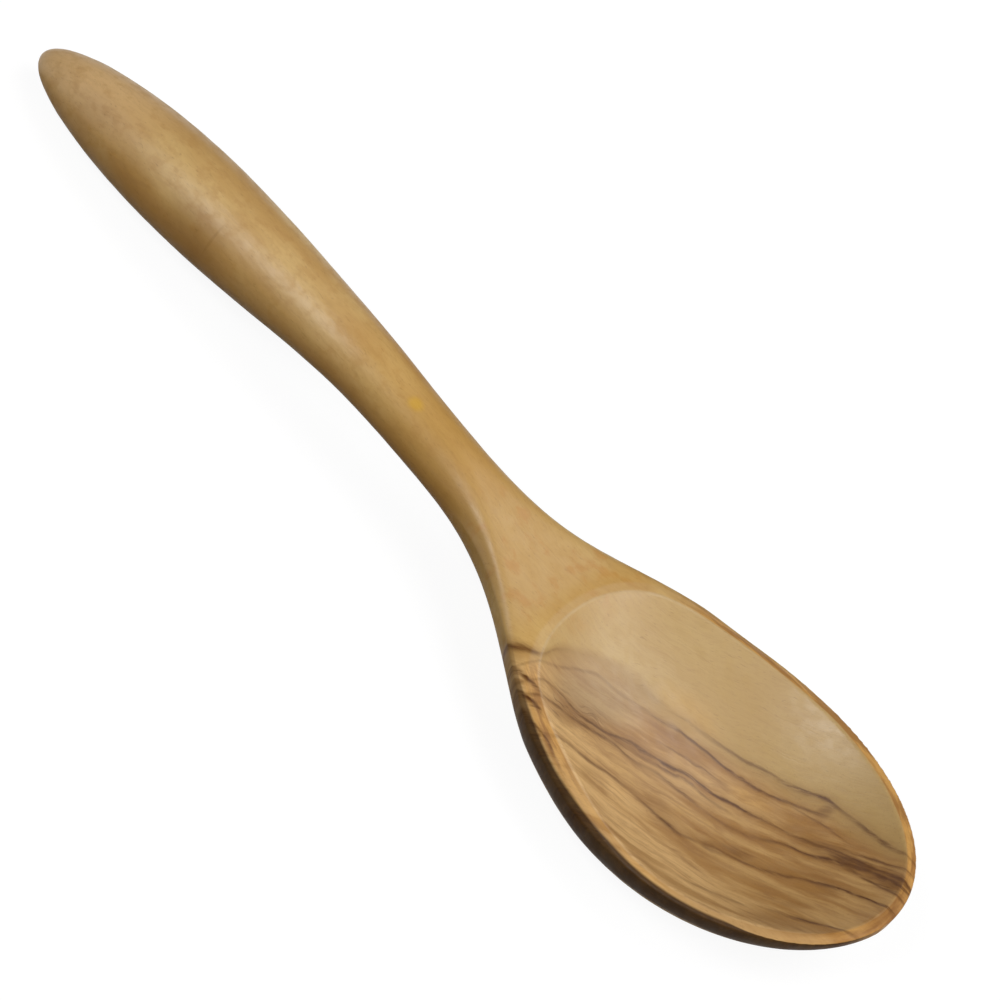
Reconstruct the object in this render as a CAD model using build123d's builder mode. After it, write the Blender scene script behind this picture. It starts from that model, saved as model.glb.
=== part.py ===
"""A carved wooden spoon: one piece of wood, with a swelling grip, a slim neck and a shallow oval bowl.

The frame: +X runs from the handle's tip to the bowl's tip, +Z is up and the table is at Z = 0.
The origin is on the table, under the middle of the spoon's length.
"""

import os
from math import cos, pi, radians

from build123d import *

# Driving sizes along the spoon, in millimetres.
spoon_length = 255.0
nose_length = 47.5  # from the handle's tip to the thickest slice of the grip
bowl_length = 130.5  # from the slimmest slice of the neck to the bowl's tip
front_length = 44.5  # from the widest slice of the bowl to its tip
hollow_length = 86.0
crease_length = 27.0  # from the slimmest slice of the neck to where the rim's crease is full
land_width = 2.7  # the wood left between the hollow and the bowl's tip

# Widths, seen from above.
grip_width = 21.6
neck_width = 14.1
bowl_width = 65.0

# The handle is round, and these are the heights of its centre line and the air under it.
nose_height = 5.6
grip_clearance = 1.3
taper_height = 16.2
hump_height = 17.5
neck_clearance = 9.55

# The bowl's flat top, how much higher it is at the tip, and how far under it the rim is widest.
deck_height = 16.35
lip_rise = 6.95
shoulder_drop = 0.75
rim_drop = 3.6
swell_drop = 1.85
lip_drop = 0.4

# The belly under the bowl.
shoulder_clearance = 4.6
lip_thickness = 3.4
rest_depth = 0.35  # how much of the round belly is sanded away where it rests

# The hollow, cut by a gouge that swings about a level line above the bowl.
hollow_depth = 10.75
gouge_height = 55.0
gouge_overrun = 1.0

# Places along the spoon.
handle_tip = -spoon_length / 2
bowl_tip = spoon_length / 2
grip_place = handle_tip + nose_length
neck_place = bowl_tip - bowl_length
bowl_place = bowl_tip - front_length
hollow_end = bowl_tip - land_width
hollow_start = hollow_end - hollow_length

# Half widths and heights that follow from the sizes above.
grip_half = grip_width / 2
neck_half = neck_width / 2
bowl_half = bowl_width / 2
grip_height = grip_clearance + grip_half
neck_height = neck_clearance + neck_half
neck_top = neck_height + neck_half
lip_height = deck_height + lip_rise
lip_underside = lip_height - lip_thickness


def between(start, end, share):
    """The value a share of the way from start to end."""
    return start + (end - start) * share


# The outline seen from above. A pair of shares says how far along its stretch a point lies,
# and how much of the stretch's change in width is done there.
taper_shares = (0.46, 0.53)
shoulder_shares = [(0.2, 0.045), (0.376, 0.27), (0.56, 0.625), (0.7, 0.832), (0.845, 0.948)]

taper_along, taper_done = taper_shares
taper_place = between(grip_place, neck_place, taper_along)
taper_half = between(grip_half, neck_half, taper_done)
shoulder_points = [
    (between(neck_place, bowl_place, along), between(neck_half, bowl_half, done))
    for along, done in shoulder_shares
]

with BuildLine(Plane.XY) as outline:
    EllipticalCenterArc((grip_place, 0), nose_length, grip_half, start_angle=90, arc_size=90)
    Spline(
        (grip_place, grip_half),
        (taper_place, taper_half),
        (neck_place, neck_half),
        tangents=[(1, 0), (1, 0)],
    )
    Spline(
        (neck_place, neck_half),
        *shoulder_points,
        (bowl_place, bowl_half),
        tangents=[(1, 0), (1, 0)],
    )
    EllipticalCenterArc((bowl_place, 0), front_length, bowl_half, start_angle=0, arc_size=90)

# The side line: how high each slice is widest. Its ends rise by these shares of their run.
nose_slope_share = 0.16
lip_slope_share = 0.19
hump_share = 0.26  # from the neck back to the grip
shoulder_share = 0.25  # from the neck to the bowl's tip, as the next one
dip_share = 0.5

with BuildLine(Plane.XZ) as side_line:
    Spline(
        (handle_tip, nose_height),
        (grip_place, grip_height),
        (taper_place, taper_height),
        (between(neck_place, grip_place, hump_share), hump_height),
        (neck_place, neck_height),
        (between(neck_place, bowl_tip, shoulder_share), deck_height - shoulder_drop),
        (between(neck_place, bowl_tip, dip_share), deck_height - rim_drop),
        (bowl_place, deck_height - swell_drop),
        (bowl_tip, lip_height - lip_drop),
        tangents=[(1, nose_slope_share), (1, lip_slope_share)],
    )

# The top of the bowl along its middle: down from the neck, level, then up to the tip. A pair of
# shares is how far along the bowl a point lies, and how much of the fall or the rise is done.
fall_shares = [(0, 0), (0.07, 0.14), (0.15, 0.46), (0.32, 0.98), (0.45, 1), (0.62, 1)]
rise_shares = [(0.79, 0.26), (0.93, 0.83), (1, 1)]

with BuildLine(Plane.XZ) as top_line:
    Spline(
        *[
            (between(neck_place, bowl_tip, along), between(neck_top, deck_height, done))
            for along, done in fall_shares
        ],
        *[
            (between(neck_place, bowl_tip, along), between(deck_height, lip_height, done))
            for along, done in rise_shares
        ],
    )

# The underside along the middle: down to the flat that the bowl rests on, then up to the tip.
keel_shares = (0.26, 0.57, 0.82)
keel_rise_share = 0.32
shoulder_along, rest_along, front_along = keel_shares

with BuildLine(Plane.XZ) as under_line:
    Spline(
        (neck_place, neck_clearance),
        (between(neck_place, bowl_tip, shoulder_along), shoulder_clearance),
        (between(neck_place, bowl_tip, rest_along), -rest_depth),
        (
            between(neck_place, bowl_tip, front_along),
            between(-rest_depth, lip_underside, keel_rise_share),
        ),
        (bowl_tip, lip_underside),
    )


def crossing(line, place):
    """The point where one of the lines above crosses the slice at a place along the spoon."""
    return line.wire().intersect(Plane.YZ.offset(place))[0]


def eased(start, end, place):
    """A value that turns smoothly from start, at the neck, to end, where the crease is full."""
    share = (place - neck_place) / crease_length
    share = min(1, max(0, share))
    return between(start, end, share * share * (3 - 2 * share))


# Half a slice is one curve over the side line and one under it. These shares of its width and
# heights place the two middle control points of each. The first one makes a quarter circle.
round_share = 0.5523
lean_share = 0.1
rise_share = 0.9
deck_share = 0.85
wall_share = 0.75
belly_share = 0.75

# Each stretch is a loft of its own. At the two round ends the slices stand at angles of the quarter
# ellipse that is drawn there, and elsewhere closer towards both ends of the stretch.
nose_angles = (3, 13, 26, 38, 46)
front_angles = (3, 14, 27, 41, 56, 70, 81)
nose_steps = 5
handle_steps = 5
shoulder_steps = 6
flank_steps = 5
flank_share = 0.62


def spread(start, end, steps):
    """Places from start to end that stand closer towards both."""
    return [between(start, end, (1 - cos(pi * step / steps)) / 2) for step in range(steps + 1)]


flank_place = between(neck_place, bowl_place, flank_share)
nose_places = [grip_place - nose_length * cos(radians(angle)) for angle in nose_angles]
front_places = [bowl_place + front_length * cos(radians(angle)) for angle in reversed(front_angles)]
stretches = [
    nose_places,
    spread(nose_places[-1], grip_place, nose_steps),
    spread(grip_place, neck_place, handle_steps),
    spread(neck_place, flank_place, shoulder_steps),
    spread(flank_place, bowl_place, flank_steps),
    [bowl_place] + front_places,
]

# The floor of the hollow along its middle: how far along it a point lies, and how deep it is.
hollow_shares = [(0, 0), (0.064, 0.34), (0.22, 0.71), (0.505, 1), (0.724, 0.857), (0.908, 0.43), (1, 0)]

floor_points = []
for along, depth in hollow_shares:
    place = between(hollow_start, hollow_end, along)
    floor_points.append((place, crossing(top_line, place).Z - hollow_depth * depth))
floor_start_height = floor_points[0][1]
floor_end_height = floor_points[-1][1]

with BuildPart() as spoon:
    # The wood, stretch by stretch.
    for places in stretches:
        for place in places:
            half = crossing(outline, place).Y
            side = crossing(side_line, place).Z
            if place > neck_place:
                top = crossing(top_line, place).Z
                bottom = crossing(under_line, place).Z
            else:
                top = side + half
                bottom = side - half
            edge_half = half * (1 - eased(0, lean_share, place))
            edge_rise = between(side, top, eased(round_share, rise_share, place))
            deck_half = half * eased(round_share, deck_share, place)
            wall_fall = between(side, bottom, eased(round_share, wall_share, place))
            belly_half = half * eased(round_share, belly_share, place)
            with BuildSketch(Plane.YZ.offset(place)):
                with BuildLine():
                    over = Bezier((half, side), (edge_half, edge_rise), (deck_half, top), (0, top))
                    under = Bezier((0, bottom), (belly_half, bottom), (half, wall_fall), (half, side))
                    mirror(over, about=Plane.YZ)
                    mirror(under, about=Plane.YZ)
                make_face()
        loft()

    # The hollow: the gouge comes in and out through the air just above the wood.
    entry_place = hollow_start - gouge_overrun
    leave_place = hollow_end + gouge_overrun
    with BuildSketch(Plane.XZ):
        with BuildLine():
            Spline(
                (entry_place, floor_start_height + gouge_overrun),
                *floor_points,
                (leave_place, floor_end_height + gouge_overrun),
            )
            Polyline(
                (leave_place, floor_end_height + gouge_overrun),
                (leave_place, gouge_height),
                (entry_place, gouge_height),
                (entry_place, floor_start_height + gouge_overrun),
            )
        make_face()
    gouge_line = Axis((0, 0, gouge_height), (1, 0, 0))
    revolve(axis=gouge_line, mode=Mode.SUBTRACT)

    # Sanded level underneath: a small flat under the bowl and a smaller one under the grip.
    split(bisect_by=Plane.XY, keep=Keep.TOP)

spoon.part.label = "spoon"
os.makedirs("parts", exist_ok=True)
export_step(spoon.part, "parts/spoon.step")
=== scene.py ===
"""The wooden spoon as a thing to look at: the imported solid, softened by hand and given its olive wood.

Everything is in metres and in the part's own frame: +X runs to the bowl's tip, +Z is up.
"""

from math import cos, pi, radians, sin

import bmesh
import bpy
from mathutils import Matrix, Vector, noise


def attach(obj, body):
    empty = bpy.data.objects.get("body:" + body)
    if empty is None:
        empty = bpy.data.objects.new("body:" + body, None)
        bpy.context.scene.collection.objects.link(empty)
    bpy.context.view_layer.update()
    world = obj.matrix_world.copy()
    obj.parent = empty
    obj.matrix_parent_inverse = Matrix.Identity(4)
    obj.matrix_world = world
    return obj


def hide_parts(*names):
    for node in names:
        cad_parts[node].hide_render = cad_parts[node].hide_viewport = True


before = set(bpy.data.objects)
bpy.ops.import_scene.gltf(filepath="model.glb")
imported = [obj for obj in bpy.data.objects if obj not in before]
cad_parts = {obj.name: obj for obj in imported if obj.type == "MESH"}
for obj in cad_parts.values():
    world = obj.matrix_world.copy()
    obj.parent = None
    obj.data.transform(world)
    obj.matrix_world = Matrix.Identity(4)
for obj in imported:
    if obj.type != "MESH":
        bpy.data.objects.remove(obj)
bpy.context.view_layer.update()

# The spoon is one piece of wood, carved, sanded and oiled.
# Its exact solid is in the frame. This copy of it has the eased edges that sandpaper leaves,
# and the slight unevenness of a face that was shaped by hand.
voxel_size = 0.00032
sanding_passes = 5
kept_share = 0.34  # of the fine mesh's faces, after the flat places are made coarser
dimple_span = 0.014  # from one hollow left by the sandpaper to the next
dimple_depth = 0.00009
merge_distance = 0.000001  # corners that lie closer than this are one

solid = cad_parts["spoon"]
rough_mesh = solid.data.copy()
spoon = bpy.data.objects.new("carved_spoon", rough_mesh)
bpy.context.scene.collection.objects.link(spoon)

blank = bmesh.new()
blank.from_mesh(rough_mesh)
bmesh.ops.remove_doubles(blank, verts=blank.verts, dist=merge_distance)
blank.to_mesh(rough_mesh)
blank.free()

carving = spoon.modifiers.new("even_mesh", "REMESH")
carving.mode = "VOXEL"
carving.voxel_size = voxel_size
sanding = spoon.modifiers.new("sanding", "SMOOTH")
sanding.iterations = sanding_passes
thinning = spoon.modifiers.new("thinning", "DECIMATE")
thinning.ratio = kept_share
depsgraph = bpy.context.evaluated_depsgraph_get()
spoon_mesh = bpy.data.meshes.new_from_object(spoon.evaluated_get(depsgraph))
spoon.modifiers.clear()
spoon.data = spoon_mesh

surface = bmesh.new()
surface.from_mesh(spoon_mesh)
surface.normal_update()
for corner in surface.verts:
    corner.co += corner.normal * dimple_depth * noise.noise(corner.co / dimple_span)
for face in surface.faces:
    face.smooth = True
surface.to_mesh(spoon_mesh)
surface.free()

# The spoon's wood is olive: plain tan, with dark growth lines that sweep up through the bowl.
# It is sanded fine and rubbed with oil. Lengths here are millimetres, and a place is (x, y) as
# seen from above, because the lines pass through the whole thickness of the wood.
millimetre = 0.001
sweep_start = -130.0
sweep_end = 130.0
sweep_reach = 60.0  # the furthest that a line may lie from the middle, to either side
figured_from = 30.0  # the growth lines' strengths are drawn from here to the sweep's end
line_turn = radians(25)  # the growth lines run at about this angle to the handle
turned_end = sweep_end + 5
through = 60  # a mark this deep passes through all of the wood
stain_core_share = 0.25  # of a stain's radius, in which it has its full strength
half = 0.5  # the middle of what a noise or a curve gives

wood = bpy.data.materials.new("olive_wood")
wood.use_nodes = True
nodes = wood.node_tree.nodes
links = wood.node_tree.links
shader = nodes["Principled BSDF"]


def wood_node(kind, inputs, **settings):
    """Adds one node to the wood. An input is a plain value, or the output that is joined to it."""
    node = nodes.new("ShaderNode" + kind)
    for name, value in settings.items():
        setattr(node, name, value)
    for name, value in inputs.items():
        if isinstance(value, bpy.types.NodeSocket):
            links.new(value, node.inputs[name])
        else:
            node.inputs[name].default_value = value
    return node


def combined(operation, first, second):
    return wood_node("Math", {0: first, 1: second}, operation=operation).outputs[0]


def combined_places(operation, first, second):
    return wood_node("VectorMath", {0: first, 1: second}, operation=operation).outputs[0]


def joined(operation, values):
    """All the values put together by one operation."""
    result = values[0]
    for value in values[1:]:
        result = combined(operation, result, value)
    return result


def product(*values):
    return joined("MULTIPLY", values)


def strongest(values):
    return joined("MAXIMUM", values)


def place_at(parts):
    return wood_node("CombineXYZ", parts).outputs[0]


def length_of(arrow):
    return wood_node("VectorMath", {0: arrow}, operation="LENGTH").outputs["Value"]


def rescaled(value, low, high, new_low=0.0, new_high=1.0):
    """The value with low to high eased to new_low to new_high, and held there."""
    inputs = {"Value": value, "From Min": low, "From Max": high, "To Min": new_low, "To Max": new_high}
    return wood_node("MapRange", inputs, interpolation_type="SMOOTHSTEP").outputs["Result"]


def rising(value, fade):
    """A share that is 0 up to the start of the fade, and 1 from its end on."""
    return rescaled(value, *fade)


def falling(value, fade):
    """A share that is 1 up to the start of the fade, and 0 from its end on."""
    return rescaled(value, *fade, 1, 0)


def drawn_curve(value, low, high, points):
    """A smooth curve over low to high through (value, height) points, with heights within the reach."""
    share = wood_node("MapRange", {"Value": value, "From Min": low, "From Max": high}).outputs["Result"]
    node = wood_node("FloatCurve", {"Value": share})
    line = node.mapping.curves[0]
    while len(line.points) < len(points):
        line.points.new(half, half)
    for point, (spot, height) in zip(line.points, points):
        point.location = ((spot - low) / (high - low), (height + sweep_reach) / (2 * sweep_reach))
    node.mapping.update()
    inputs = {"Value": node.outputs[0], "To Min": -sweep_reach, "To Max": sweep_reach}
    return wood_node("MapRange", inputs).outputs["Result"]


def noise_at(place, spans, detail, roughness, part="Fac"):
    """Soft noise from 0 to 1. The spans are the length, the width and the depth of one patch of it."""
    scaled = combined_places("DIVIDE", place, spans)
    inputs = {"Vector": scaled, "Scale": 1.0, "Detail": detail, "Roughness": roughness}
    return wood_node("TexNoise", inputs).outputs[part]


def marks(place, spans, detail, roughness, *heights):
    """Where the noise comes up: its heights are eased as rescaled does it."""
    return rescaled(noise_at(place, spans, detail, roughness), *heights)


def push(spans, detail, roughness, reach):
    """An arrow that changes softly from place to place, up to half the reach to either side."""
    colour = noise_at(place, spans, detail, roughness, "Color")
    arrow = combined_places("SUBTRACT", colour, (half, half, half))
    return combined_places("MULTIPLY", arrow, reach)


def blend(share, first, second):
    """One colour turned into another by a share from 0 to 1."""
    mix = wood_node("Mix", {}, data_type="RGBA")
    for socket, value in ((mix.inputs[0], share), (mix.inputs[6], first), (mix.inputs[7], second)):
        if isinstance(value, bpy.types.NodeSocket):
            links.new(value, socket)
        else:
            socket.default_value = value
    return mix.outputs[2]


def paint(red, green, blue):
    """A colour as a screen shows it, from 0 to 255, turned into what the shader wants."""
    colour = []
    for channel in (red, green, blue):
        share = channel / 255
        # The screen's own curve: straight for the darkest colours, and bent above them.
        if share <= 0.04045:
            colour.append(share / 12.92)
        else:
            colour.append(((share + 0.055) / 1.055) ** 2.4)
    return colour + [1.0]


# Every place in the wood in millimetres, and then bent a little, so that no line is quite smooth.
object_place = wood_node("TexCoord", {}).outputs["Object"]
place = combined_places("DIVIDE", object_place, (millimetre, millimetre, millimetre))
wave_push = ((17, 7, through), 1.0, 0.5, (0, 3, 0))
ripple_push = ((5.5, 2.8, 40), 3.0, 0.55, (0, 1.3, 0))
bend = combined_places("ADD", push(*wave_push), push(*ripple_push))
bent_place = combined_places("ADD", place, bend)
place_parts = wood_node("SeparateXYZ", {"Vector": bent_place}).outputs
turned_place = wood_node("Mapping", {"Vector": bent_place, "Rotation": (0, 0, -line_turn)}).outputs[0]
turned_parts = wood_node("SeparateXYZ", {"Vector": turned_place}).outputs

# The way the fibres run: straight through the handle, then up across the bowl.
sweep_points = [
    (-130, -22), (-60, -22), (5, -22), (28, -21.5), (42, -18), (52, -13.5), (62, -8.5), (72, -3.5),
    (82, 0.8), (94, 5), (106, 8.5), (118, 10.5), (130, 11),
]
sweep = drawn_curve(place_parts["X"], sweep_start, sweep_end, sweep_points)
flow_across = combined("SUBTRACT", place_parts["Y"], sweep)
flow_place = place_at({"X": place_parts["X"], "Y": flow_across, "Z": place_parts["Z"]})


def height_over(points):
    """How far a place lies above a line, in millimetres."""
    turned_points = [
        (x * cos(line_turn) + y * sin(line_turn), y * cos(line_turn) - x * sin(line_turn)) for x, y in points
    ]
    line = drawn_curve(turned_parts["X"], 0.0, turned_end, turned_points)
    return combined("SUBTRACT", turned_parts["Y"], line)


def strength_along(strengths):
    """A share that changes along the spoon, drawn through (x, share) pairs."""
    return drawn_curve(place_parts["X"], figured_from, sweep_end, strengths)


def growth_line(points, reach_above, reach_below, strengths):
    """How dark one growth line is. It fades out over its two reaches."""
    height = height_over(points)
    above = falling(height, (0, reach_above))
    below = rising(height, (-reach_below, 0))
    return product(above, below, strength_along(strengths))


def stain(middle, size, turn, strength):
    """A soft patch round a place, of a length, a width and a depth, and turned about Z by degrees."""
    inputs = {
        "Vector": bent_place,
        "Location": middle,
        "Rotation": (0, 0, radians(turn)),
        "Scale": [length / 2 for length in size],
    }
    spot = wood_node("Mapping", inputs, vector_type="TEXTURE").outputs[0]
    return rescaled(length_of(spot), stain_core_share, 1, strength, 0)


def stained(colour, stains):
    """The colour with each stain of the list laid over it. A stain's last value is its own colour."""
    for middle, size, turn, strength, stain_colour in stains:
        colour = blend(stain(middle, size, turn, strength), colour, paint(*stain_colour))
    return colour


def washed(colour, wash, *shares):
    """The colour with a wash over it. A wash is a colour and its strength, and the shares thin it."""
    wash_colour, strength = wash
    return blend(product(*shares, strength), colour, paint(*wash_colour))


# The dark wood's upper edge. Under it the wood is browner and has the growth lines.
upper_edge = [
    (34, -18.5), (42, -14.5), (42.7, -9), (45, -5), (48.5, -0.5), (53, 3), (60, 5), (68, 8), (75, 11),
    (80, 12.8), (88, 15.2), (95, 17), (99, 17.9), (104, 17.9), (108, 17.6), (113, 17), (118, 16.3),
    (130, 14.5),
]
second_line = [
    (44, -14), (47, -8), (50, -3.5), (55, -0.8), (61, 1.5), (68, 5), (75, 7), (80, 8.5), (90, 10.7),
    (95, 13.2), (99, 14.6), (104, 16),
]
middle_line = [
    (46, -19), (50, -14.5), (54, -13.3), (60, -10.8), (65, -6), (70, -3.7), (75, -1.1), (80, 1.3),
    (85, 2.8), (90, 4.7), (95, 6.5), (100, 7.8), (110, 9.7), (118, 9.9), (130, 10.5),
]
lower_middle_line = [
    (50, -20), (58, -13.6), (64, -10), (68, -8.4), (73, -5.2), (80, -3.5), (85, -2.3), (92, -0.2),
    (97, 2.6), (103, 5.6), (110, 7.6), (115, 8.9), (122, 9.2), (130, 9.4),
]
low_line = [
    (54, -27), (61, -21), (66, -18.3), (70, -15.8), (76, -13.9), (82, -13.2), (86, -12.2), (90, -9),
    (95, -7), (100, -5), (106, -1.7), (111, 0.6), (115, 1.7), (122, 2.4), (130, 2.4),
]
thin_lines = [
    growth_line(
        upper_edge, 0.6, 1.2,
        [(30, 0.7), (40, 0.7), (43, 0.2), (60, 0.15), (70, 0.25), (80, 0.6), (90, 0.65), (99, 0.9),
         (104, 0.4), (110, 0.75), (120, 0.5), (130, 0.4)],
    ),
    growth_line(
        second_line, 0.6, 0.9,
        [(30, 0), (46, 0.3), (60, 0.3), (68, 0.7), (80, 0.85), (92, 0.8), (99, 0.6), (104, 0), (130, 0)],
    ),
    growth_line(
        middle_line, 0.55, 0.8,
        [(30, 0), (50, 0.5), (57, 0.8), (66, 0.7), (74, 1), (85, 1), (95, 0.9), (104, 0.6), (112, 0.75),
         (124, 0.9), (130, 0.8)],
    ),
    growth_line(
        lower_middle_line, 0.6, 0.8,
        [(30, 0), (56, 0.7), (66, 0.7), (70, 0.3), (77, 0.6), (86, 0.4), (97, 0.4), (104, 0.9),
         (111, 1), (118, 0.9), (130, 0.9)],
    ),
    growth_line(
        low_line, 0.6, 0.9,
        [(30, 0), (60, 0.5), (67, 0.6), (74, 0.35), (84, 0.85), (89, 0.4), (100, 0.6), (110, 0.75),
         (116, 1), (126, 1), (130, 0.9)],
    ),
    growth_line(
        [(104, -17), (111, -13), (116, -11.5), (120, -9.8), (128, -6.5)],
        0.6, 1.1,
        [(30, 0), (106, 0), (112, 0.4), (117, 0.85), (124, 0.6), (130, 0.5)],
    ),
    growth_line(
        [(90, -23), (97, -21.5), (102, -20), (108, -18.5)],
        0.7, 1.1,
        [(30, 0), (92, 0), (98, 0.4), (105, 0.45), (109, 0), (130, 0)],
    ),
    growth_line(
        [(64, -3), (72, 1.5), (79, 4.3), (86, 6)],
        0.5, 0.7,
        [(30, 0), (66, 0), (72, 0.5), (80, 0.5), (86, 0), (130, 0)],
    ),
    growth_line(
        [(62, -8), (70, -4.8), (78, -1), (86, 1), (94, 3.4)],
        0.5, 0.7,
        [(30, 0), (64, 0), (70, 0.5), (84, 0.45), (92, 0), (130, 0)],
    ),
    growth_line(
        [(100, 8), (106, 9.9), (112, 11.2), (118, 12), (128, 12.8)],
        0.6, 0.8,
        [(30, 0), (101, 0), (107, 0.5), (116, 0.8), (124, 0.7), (130, 0.5)],
    ),
    growth_line(
        [(108, 7.4), (114, 7.9), (120, 7), (128, 6)],
        0.6, 0.8,
        [(30, 0), (109, 0), (114, 0.6), (124, 0.7), (130, 0.6)],
    ),
    growth_line(
        [(92, 12), (98, 12.8), (105, 13), (112, 11.8)],
        0.5, 0.7,
        [(30, 0), (92, 0), (98, 0.4), (106, 0.4), (112, 0), (130, 0)],
    ),
    growth_line(
        [(36, -21.5), (42, -20.6), (48, -20.4), (54, -21)],
        0.6, 0.9,
        [(30, 0), (39, 0.7), (47, 0.8), (50, 0), (130, 0)],
    ),
    growth_line(
        [(42, -23.5), (46, -23), (51, -22.8), (56, -23.5)],
        0.6, 1.0,
        [(30, 0), (43, 0.8), (50, 0.9), (54, 0), (130, 0)],
    ),
    growth_line(
        [(46, -25), (51, -25), (56, -25.6), (60, -27), (64, -28)],
        0.5, 0.8,
        [(30, 0), (49, 0.6), (58, 0.7), (62, 0), (130, 0)],
    ),
]

# Wider and fainter brown bands beside the lines, and patches where they run together.
soft_bands = [
    growth_line(
        upper_edge, 2.4, 3.6,
        [(30, 0.8), (42, 0.5), (50, 0.45), (60, 0.3), (75, 0.25), (85, 0.2), (97, 0.45), (106, 0.4),
         (120, 0.45), (130, 0.5)],
    ),
    growth_line(
        second_line, 1.6, 2.8,
        [(30, 0.2), (50, 0.1), (60, 0.1), (72, 0.4), (84, 0.45), (95, 0.4), (104, 0.2), (130, 0)],
    ),
    growth_line(
        [(46, -19), (50, -9.5), (54, -4), (60, -1), (68, 2), (76, 4.6), (84, 6)],
        1.6, 2.2,
        [(30, 0.2), (50, 0.1), (60, 0.1), (72, 0.25), (80, 0.2), (86, 0), (130, 0)],
    ),
    growth_line(
        middle_line, 1.8, 3.0,
        [(30, 0), (50, 0.4), (60, 0.5), (74, 0.4), (90, 0.3), (104, 0.45), (114, 0.6), (126, 0.7),
         (130, 0.7)],
    ),
    growth_line(
        lower_middle_line, 1.5, 2.6,
        [(30, 0), (56, 0.5), (66, 0.5), (76, 0.4), (90, 0.35), (104, 0.5), (112, 0.5), (120, 0.6),
         (130, 0.6)],
    ),
    growth_line(
        low_line, 4.0, 2.0,
        [(30, 0), (62, 0.2), (72, 0.5), (84, 0.6), (96, 0.6), (104, 0.45), (114, 0.3), (126, 0.4),
         (130, 0.4)],
    ),
    stain((62.5, -9.3, 10), (12, 4.4, through), 33, 0.6),
    stain((55, -17, 12), (10, 7, through), 60, 0.6),
    stain((97, -4.5, 10), (9, 6, through), 30, 0.7),
    stain((78.5, -11, 10), (11, 5, through), 10, 0.55),
    stain((100.5, 15, 15), (5, 7, through), 10, 0.6),
    stain((101.5, 7.5, 15), (7, 5, through), 10, 0.5),
    stain((110.5, 8.8, 18), (11, 3.4, through), 5, 0.9),
    stain((121.3, 9, 20), (9, 7, through), -5, 0.95),
    stain((113, -7.8, 15), (9, 4, through), 30, 0.45),
    stain((114, -17, 15), (22, 11, through), 25, 0.7),
    stain((68, -21.5, 12), (10, 9, through), 0, 0.4),
    stain((-67.6, -8.8, 18), (1.4, 8, 14), 8, 0.6),
    stain((-72, -8, 16), (26, 9, 16), 0, 0.5),
    stain((-104, -5, 12), (24, 9, 16), 0, 0.25),
]

# Beside the hollow's left end the lines lie close together and are crossed by a small knot.
knot_push = ((7, 6, 20), 2.0, 0.5, (6, 9, 0))
knot_lines = ((7, 0.9, 20), 4.0, 0.65, 0.48, 0.62)
knot_spot = ((54.5, -15, 12), (24, 15, through), 50, 0.6)
knot_place = place_at({"X": place_parts["X"], "Y": flow_across, "Z": 0.0})
knot_place = combined_places("ADD", knot_place, push(*knot_push))
knot = product(marks(knot_place, *knot_lines), stain(*knot_spot))

# Dark patches: (x, y), length, width, turn and strength.
patch_height = 15
dark_patches = [
    ((121.0, 9.0), 13, 7.5, -6, 0.9), ((111.5, 9.2), 19, 3.4, 7, 0.8), ((63.0, -9.0), 15, 3.8, 35, 0.8),
    ((92.5, -8.5), 8, 2.4, 22, 0.4), ((84.0, -12.7), 9, 1.8, 8, 0.5), ((100.5, 16.0), 5, 3.6, 60, 0.35),
    ((39.5, -16.3), 8, 2.2, 24, 0.6), ((49.0, -23.1), 8, 2.0, 0, 0.6), ((95.8, -4.2), 10, 4.5, 30, 0.45),
    ((117.0, -11.0), 9, 2.4, 24, 0.35),
]
patches = strongest([
    stain((x, y, patch_height), (length, width, through), turn, strength)
    for (x, y), length, width, turn, strength in dark_patches
])

# Under the upper edge, and from the bowl's start on, the wood is figured. The pairs are fades:
# where each starts and ends, in millimetres.
upper_edge_fade = (-6, 0.8)
figured_start = (33, 38)
figured = product(falling(height_over(upper_edge), upper_edge_fade), rising(place_parts["X"], figured_start))

# How far out a place lies, with 1 on the outline seen from above. The bowl's front is half an ellipse.
widest_place = 83
front_length = 44.5
outline_points = [
    (0, 7.1), (14.2, 8.2), (29.3, 13.9), (45.2, 23.0), (57.2, 28.2), (69.7, 31.3), (83, 32.5),
    (130, 32.5),
]
plain_parts = wood_node("SeparateXYZ", {"Vector": place}).outputs
along = plain_parts["X"]
across = plain_parts["Y"]
up = plain_parts["Z"]
outline_half = drawn_curve(along, 0.0, sweep_end, outline_points)
past_widest = combined("MAXIMUM", combined("SUBTRACT", along, widest_place), 0)
forward = combined("DIVIDE", past_widest, front_length)
sideways = combined("DIVIDE", across, outline_half)
outward = length_of(place_at({"X": forward, "Y": sideways}))

# How far a place lies over the line where the spoon is widest, and how high the rim stands over it.
side_points = [
    (-130, 6), (-80, 12.1), (-46, 16.2), (-22, 17.4), (-3, 16.7), (15, 16.2), (35, 15.1), (55, 13),
    (65, 12.8), (82, 14), (95, 16.5), (110, 19.4), (130, 23),
]
rim_heights = [
    (0, 3), (30, 1.4), (45, 1.6), (65, 2.05), (75, 1.6), (82, 1.5), (90, 0.9), (100, 0.4), (130, 0.4),
]
near_side_fade = (-12, 4)
side_height = drawn_curve(along, sweep_start, sweep_end, side_points)
over_side = combined("SUBTRACT", up, side_height)
rim_height = drawn_curve(along, 0.0, sweep_end, rim_heights)
near_side = falling(across, near_side_fade)

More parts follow.
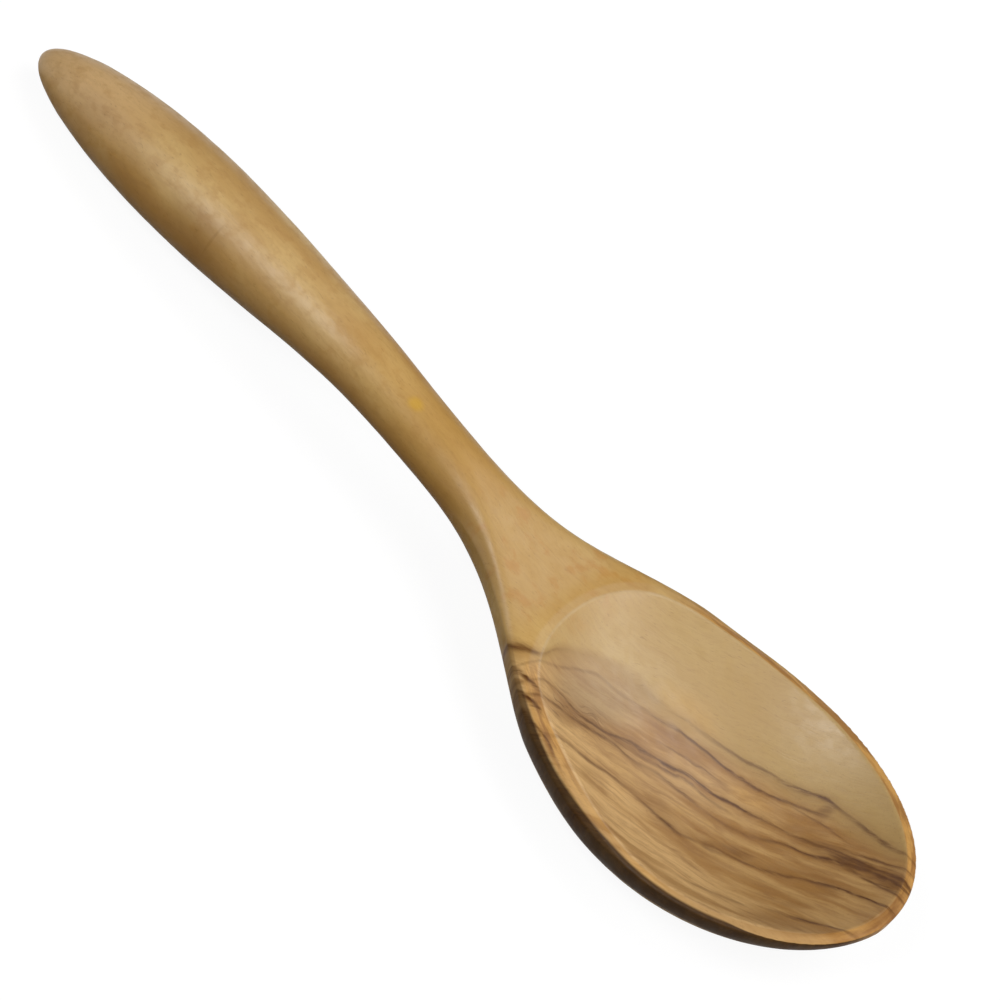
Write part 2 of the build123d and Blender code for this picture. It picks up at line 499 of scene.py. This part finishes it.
# The gouge swung about a level line above the bowl and left a round face. How much further from
# that line a place lies is its depth in the wood. It tells the hollow, the flat rim and the
# outside apart.
gouge_height = 55
floor_points = [
    (0, gouge_height), (37.8, 17.4), (38.8, 16.4), (44.3, 12.7), (48, 11.2), (57.7, 8.7), (70, 6.6),
    (82.2, 5.7), (91, 6.5), (101.1, 9.2), (107, 11.7), (116.9, 17.3), (124.8, 23.1), (130, 28),
]
skin_fade = (0.15, 0.5)
rim_fade = (2.0, 3.2)
outside_fade = (1.2, 2.4)
floor_height = drawn_curve(along, 0.0, sweep_end, floor_points)
spot_round_gouge = place_at({"Y": across, "Z": combined("SUBTRACT", up, gouge_height)})
wood_depth = combined("SUBTRACT", combined("ADD", length_of(spot_round_gouge), floor_height), gouge_height)
in_hollow = falling(wood_depth, skin_fade)
outside = rising(wood_depth, outside_fade)

# The flat rim. On the near side it starts further back, where the wood is figured.
rim_start = (44, 58)
near_rim_start = (37, 56)
near_rim_start_share = 0.4
near_rim = product(near_side, rescaled(along, *near_rim_start, near_rim_start_share, 1), figured)
rim_reach = combined("MAXIMUM", rising(along, rim_start), near_rim)
flat_rim = product(rising(wood_depth, skin_fade), falling(wood_depth, rim_fade), rim_reach)
off_rim = combined("SUBTRACT", 1, flat_rim)

# The near wall of the bowl, up to the rim, where dark shade is painted on. Shares of the rim's height and of
# the way out bound it.
wall_top_shares = (0.6, 0.97)
wall_edge_shares = (0.95, 0.97)
wall_start = (30, 56)
near_wall_painted_shade = product(
    falling(combined("DIVIDE", over_side, rim_height), wall_top_shares),
    rising(outward, wall_edge_shares),
    rising(along, wall_start),
    near_side,
)

# How far a place lies above the near flank of the handle, at right angles to it.
flank_up_share = 0.77
flank_across_share = 0.64
over_flank = combined("ADD", product(over_side, flank_up_share), product(across, flank_across_share))

# The plain wood: tan blotches, then soft stains, two of them partly painted light and shade, painted shade
# on the low near flank of the handle, and flecks on the flat of the shoulder.
# Marks are the spans, the detail and the roughness of a noise, and between which of its heights
# they come up. A wash is a colour and its strength.
blotches = ((26, 9, 12), 3.0, 0.5, 0.36, 0.64)
blotch_dark = (188, 148, 88)
blotch_light = (203, 168, 108)
bare_stains_and_painted_light = [
    ((2, 0, 20), (84, 44, through), 0, 0.85, (180, 138, 72)),
    # Paler wood at the handle's tip, partly its own tone and partly painted light where the lamps leave it
    # dim.
    ((-112, 2, 10), (60, 34, through), 0, 0.8, (212, 175, 124)),
    # A browner patch on the far side of the neck, partly orange-brown wood and partly painted shade.
    ((-22, 6, 22), (50, 9, 30), 0, 0.6, (164, 118, 58)),
]
low_flank_fade = (-7, 0)
low_flank_end = (14, 30)
low_flank_shade_wash = ((158, 108, 54), 0.5)
mottle_noise = ((3.2, 2.4, 3), 3.0, 0.6)
mottle_heights = (0.46, 0.68)
mottle_strengths = (0.4, 0.12)  # on the outside and in the hollow
mottle_wash = ((176, 132, 70), 1)
hollow_wash = ((174, 144, 90), 0.7)
shoulder_start = (4, 16)
shoulder_end = (34, 46)
shoulder_wash = ((184, 148, 84), 0.45)
flecks = ((5, 4, 20), 4.0, 0.6, 0.52, 0.66)
fleck_wash = ((178, 120, 48), 0.42)

bare = blend(marks(place, *blotches), paint(*blotch_dark), paint(*blotch_light))
bare = stained(bare, bare_stains_and_painted_light)
# Painted shade: the low near flank of the handle is darkened and browned.
low_flank_painted_shade = product(falling(over_flank, low_flank_fade), falling(along, low_flank_end))
bare = washed(bare, low_flank_shade_wash, low_flank_painted_shade)
mottle = noise_at(place, *mottle_noise)
mottle_strength = rescaled(in_hollow, 0, 1, *mottle_strengths)
bare = washed(bare, mottle_wash, rising(mottle, mottle_heights), mottle_strength)
bare = washed(bare, hollow_wash, in_hollow)
on_shoulder = product(rising(along, shoulder_start), falling(along, shoulder_end))
bare = washed(bare, shoulder_wash, on_shoulder)
bare = washed(bare, fleck_wash, marks(place, *flecks), on_shoulder)

# The figured wood: brown and tan clouds along the fibres, golden towards the near side.
cloud_noise = ((26, 4.0, 30), 3.0, 0.6)
cloud_heights = (0.36, 0.62)
cloud_dark = (160, 116, 62)
cloud_light = (190, 150, 94)
golden_fade = (-20, -9)
golden_heights = (0.32, 0.55, 0.35, 1)
golden_wash = ((218, 178, 120), 0.8)
figured_stains = [
    ((54, -6, 12), (34, 19, through), 50, 0.75, (168, 140, 100)),
    ((88.5, 7.4, 12), (14, 4.5, through), 16, 0.4, (206, 158, 84)),
    ((68, 10, 12), (24, 10, through), 16, 0.5, (188, 146, 76)),
    ((54, -15, 12), (17, 10, through), 50, 0.5, (142, 108, 72)),
    ((51.5, -20.5, 14), (5, 4, through), 0, 0.6, (214, 172, 122)),
]
cloud = noise_at(flow_place, *cloud_noise)
figured_bare = blend(rising(cloud, cloud_heights), paint(*cloud_dark), paint(*cloud_light))
golden = product(falling(place_parts["Y"], golden_fade), rescaled(cloud, *golden_heights))
figured_bare = washed(figured_bare, golden_wash, golden)
colour = blend(figured, bare, figured_bare)
colour = stained(colour, figured_stains)

# Fine hairs everywhere, and streaks and smudges where the wood is figured. The flat rim has none.
hairs = ((24, 0.6, 9), 4.0, 0.65, 0.5, 0.7)
hair_wash = ((128, 84, 42), 1)
plain_hair_share = 0.06
figured_hair_share = 0.24
streaks = ((20, 1.9, 30), 3.0, 0.6, 0.48, 0.66)
streak_wash = ((144, 102, 58), 0.45)
smudges = ((8, 2.6, 40), 4.0, 0.6, 0.5, 0.7)
smudge_wash = ((140, 98, 56), 0.4)
band_wash = ((136, 94, 46), 0.8)

hair_marks = marks(flow_place, *hairs)
figured_inside = product(figured, off_rim)
hair_strength = combined("ADD", product(figured_inside, figured_hair_share), plain_hair_share)
colour = washed(colour, hair_wash, hair_marks, hair_strength)
colour = washed(colour, streak_wash, marks(flow_place, *streaks), figured_inside)
colour = washed(colour, smudge_wash, marks(flow_place, *smudges), figured_inside)
colour = washed(colour, band_wash, strongest(soft_bands))

# The flat rim drank more oil and is golden, with fine lines that run round with the outline.
# It is darkest at the tip and below it, and quieter along the near side.
rim_rings = ((9, 9, 1.3), 3.0, 0.6, 0.38, 0.6)
ring_scale = 32  # the way out to the outline, in millimetres
rim_light = (204, 152, 82)
rim_dark = (152, 102, 52)
rim_stains = [
    ((108, -24, 20), (52, 20, through), 40, 0.85, (118, 74, 36)),
    ((126, 2, 22), (12, 22, 30), 0, 0.6, (122, 76, 38)),
]
rim_share = 0.8
quiet_side_fade = (-16, 2)
quiet_side_start = (56, 74)
quiet_share = 0.45
rim_place = place_at({"X": along, "Y": across, "Z": product(outward, ring_scale)})
rim_wood = blend(marks(rim_place, *rim_rings), paint(*rim_light), paint(*rim_dark))
rim_wood = stained(rim_wood, rim_stains)
quiet_side = product(falling(across, quiet_side_fade), rising(along, quiet_side_start))
rim_strength = combined("SUBTRACT", rim_share, product(quiet_side, quiet_share))
colour = blend(product(flat_rim, rim_strength), colour, rim_wood)

# The dark patches and the growth lines, which are broken here and there, and the painted shade that darkens
# the near wall.
patch_gaps = ((12, 0.8, 6), 3.0, 0.6, 0.4, 0.6, 0.25, 1)
patch_wash = ((90, 54, 26), 1)
line_gaps = ((5, 0.8, 20), 4.0, 0.65, 0.34, 0.56, 0.3, 1)
line_wash = ((88, 52, 24), 1)
painted_wall_shade = ((46, 26, 12), 0.92)
colour = washed(colour, patch_wash, patches, marks(flow_place, *patch_gaps))
colour = washed(colour, line_wash, strongest(thin_lines + [knot]), marks(flow_place, *line_gaps))
colour = washed(colour, painted_wall_shade, near_wall_painted_shade)

# Over all of it lie the pores and the finest grain, and there is one yellow spot on the neck.
pores = ((1.5, 0.25, 0.3), 1.0, 0.5, 0.62, 0.8)
pore_wash = ((120, 84, 46), 0.3)
grain = ((3.0, 0.6, 3), 3.0, 0.65, 0.42, 0.68)
grain_wash = ((140, 98, 50), 0.12)
yellow_spot = ((-13.3, -2.4, 24), (5, 4, 8), 0, 0.5, (206, 160, 44))
colour = washed(colour, pore_wash, marks(flow_place, *pores))
colour = washed(colour, grain_wash, marks(flow_place, *grain))
colour = stained(colour, [yellow_spot])
links.new(colour, shader.inputs["Base Color"])

# The oil shines most in the hollow. The near flank of the handle, the edge of the shoulder, the
# outside of the bowl, the neck and the flat rim are duller.
satin_heights = (0.35, 0.65, 0.42, 0.52)
near_flank_fade = (-4, -0.5)
near_flank_end = (4, 20)
edge_height_fade = (-1, 1.2)
edge_way_shares = (0.6, 0.8)
edge_start = (2, 10)
edge_end = (34, 40)
outside_start = (30, 40)
dull_neck = ((-14, 0, 20), (66, 60, 90), 0, 0.7)
dull_rim_share = 0.7
oiled_gloss = 0.65
dull_gloss = 0.03
hollow_gloss = 1.4  # times the gloss of the rest

links.new(rescaled(mottle, *satin_heights), shader.inputs["Roughness"])
near_flank = product(falling(over_flank, near_flank_fade), falling(along, near_flank_end))
shoulder_edge = product(
    falling(over_side, edge_height_fade),
    rising(outward, edge_way_shares),
    rising(along, edge_start),
    falling(along, edge_end),
)
dull = strongest([
    near_flank,
    shoulder_edge,
    product(outside, rising(along, outside_start)),
    stain(*dull_neck),
    product(flat_rim, dull_rim_share),
])
gloss = product(rescaled(dull, 0, 1, oiled_gloss, dull_gloss), rescaled(in_hollow, 0, 1, 1, hollow_gloss))
links.new(gloss, shader.inputs["Specular IOR Level"])

# The hairs stand up a little.
relief_share = 0.12
relief_height = 0.0001
bump = wood_node("Bump", {"Height": hair_marks, "Strength": relief_share, "Distance": relief_height})
links.new(bump.outputs[0], shader.inputs["Normal"])

spoon_mesh.materials.clear()
spoon_mesh.materials.append(wood)
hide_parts("spoon")
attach(spoon, "root")

# The floor is a plain pale sheet that the spoon lies on.
# The camera sees it as white, apart from the spoon's own soft shadow.
floor_size = 3  # from its middle to each edge
shaded_grey = 0.02  # to the lamps' light, so that little of it is thrown back up at the spoon
pale_grey = 0.15  # to the camera, which also sees the glow
paper_glow = 0.89
floor_mesh = bpy.data.meshes.new("floor")
floor = bpy.data.objects.new("floor", floor_mesh)
bpy.context.scene.collection.objects.link(floor)
sheet = bmesh.new()
bmesh.ops.create_grid(sheet, x_segments=1, y_segments=1, size=floor_size)
sheet.to_mesh(floor_mesh)
sheet.free()

paper = bpy.data.materials.new("white_paper")
paper.use_nodes = True
paper_nodes = paper.node_tree.nodes
paper_links = paper.node_tree.links
paper_nodes.remove(paper_nodes["Principled BSDF"])
seen = paper_nodes.new("ShaderNodeLightPath")
plain = paper_nodes.new("ShaderNodeBsdfDiffuse")
plain.inputs["Color"].default_value = (shaded_grey, shaded_grey, shaded_grey, 1)
pale = paper_nodes.new("ShaderNodeBsdfDiffuse")
pale.inputs["Color"].default_value = (pale_grey, pale_grey, pale_grey, 1)
glow = paper_nodes.new("ShaderNodeEmission")
glow.inputs["Strength"].default_value = paper_glow
white = paper_nodes.new("ShaderNodeAddShader")
paper_links.new(pale.outputs[0], white.inputs[0])
paper_links.new(glow.outputs[0], white.inputs[1])
choice = paper_nodes.new("ShaderNodeMixShader")
straight_rays = seen.outputs["Is Camera Ray"]
for ray in ("Is Glossy Ray", "Is Transmission Ray"):
    either = paper_nodes.new("ShaderNodeMath")
    either.operation = "MAXIMUM"
    paper_links.new(straight_rays, either.inputs[0])
    paper_links.new(seen.outputs[ray], either.inputs[1])
    straight_rays = either.outputs[0]
paper_links.new(straight_rays, choice.inputs[0])
paper_links.new(plain.outputs[0], choice.inputs[1])
paper_links.new(white.outputs[0], choice.inputs[2])
paper_links.new(choice.outputs[0], paper_nodes["Material Output"].inputs["Surface"])
floor_mesh.materials.append(paper)

# The studio's light: a wide window low beyond the bowl's tip, a softer one over the far side, a lamp
# over the near side and a dim one low beyond the handle. A lamp has its name, its direction, its
# distance, its size and its share: at 1 it lights a face that looks at it as its colour is written.
room_glow = 0.03
lamps = [
    ("window_light", (0.92, 0.06, 0.38), 1.4, 1.1, 0.72),
    ("ceiling_light", (0.30, 0.42, 0.85), 1.4, 1.0, 0.46),
    ("front_light", (-0.26, -0.58, 0.77), 1.3, 0.7, 0.59),
    ("left_light", (-0.80, -0.40, 0.40), 1.3, 0.6, 0.03),
]
for name, direction, distance, size, light_share in lamps:
    spot = Vector(direction).normalized() * distance
    lamp = bpy.data.lights.new(name, "AREA")
    lamp.energy = light_share * (pi * distance) ** 2
    lamp.size = size
    light = bpy.data.objects.new(name, lamp)
    light.location = spot
    light.rotation_euler = (-spot).to_track_quat("-Z", "Y").to_euler()
    bpy.context.scene.collection.objects.link(light)

room = bpy.data.worlds.new("pale_room")
room.use_nodes = True
room.node_tree.nodes["Background"].inputs["Color"].default_value = (1, 1, 1, 1)
room.node_tree.nodes["Background"].inputs["Strength"].default_value = room_glow
bpy.context.scene.world = room
bpy.context.scene.view_settings.view_transform = "Standard"

# The camera stands high over the bowl's near side and looks down on the spoon from there.
camera_spot = Vector((0.228584, -0.587216, 0.790625))
look_direction = Vector((-0.22790681, 0.5872157, -0.77668282))
up_direction = Vector((-0.72802894, 0.42690942, 0.53639743))
right_direction = look_direction.cross(up_direction)
sensor_width = 36
focal_length = 177.74
picture_shift = (0.04833, -0.02318)

lens = bpy.data.cameras.new("camera")
lens.sensor_width = sensor_width
lens.lens = focal_length
lens.shift_x, lens.shift_y = picture_shift
camera = bpy.data.objects.new("camera", lens)
axes = Matrix((right_direction, up_direction, -look_direction)).transposed()
camera.matrix_world = Matrix.Translation(camera_spot) @ axes.to_4x4()
bpy.context.scene.collection.objects.link(camera)
bpy.context.scene.camera = camera
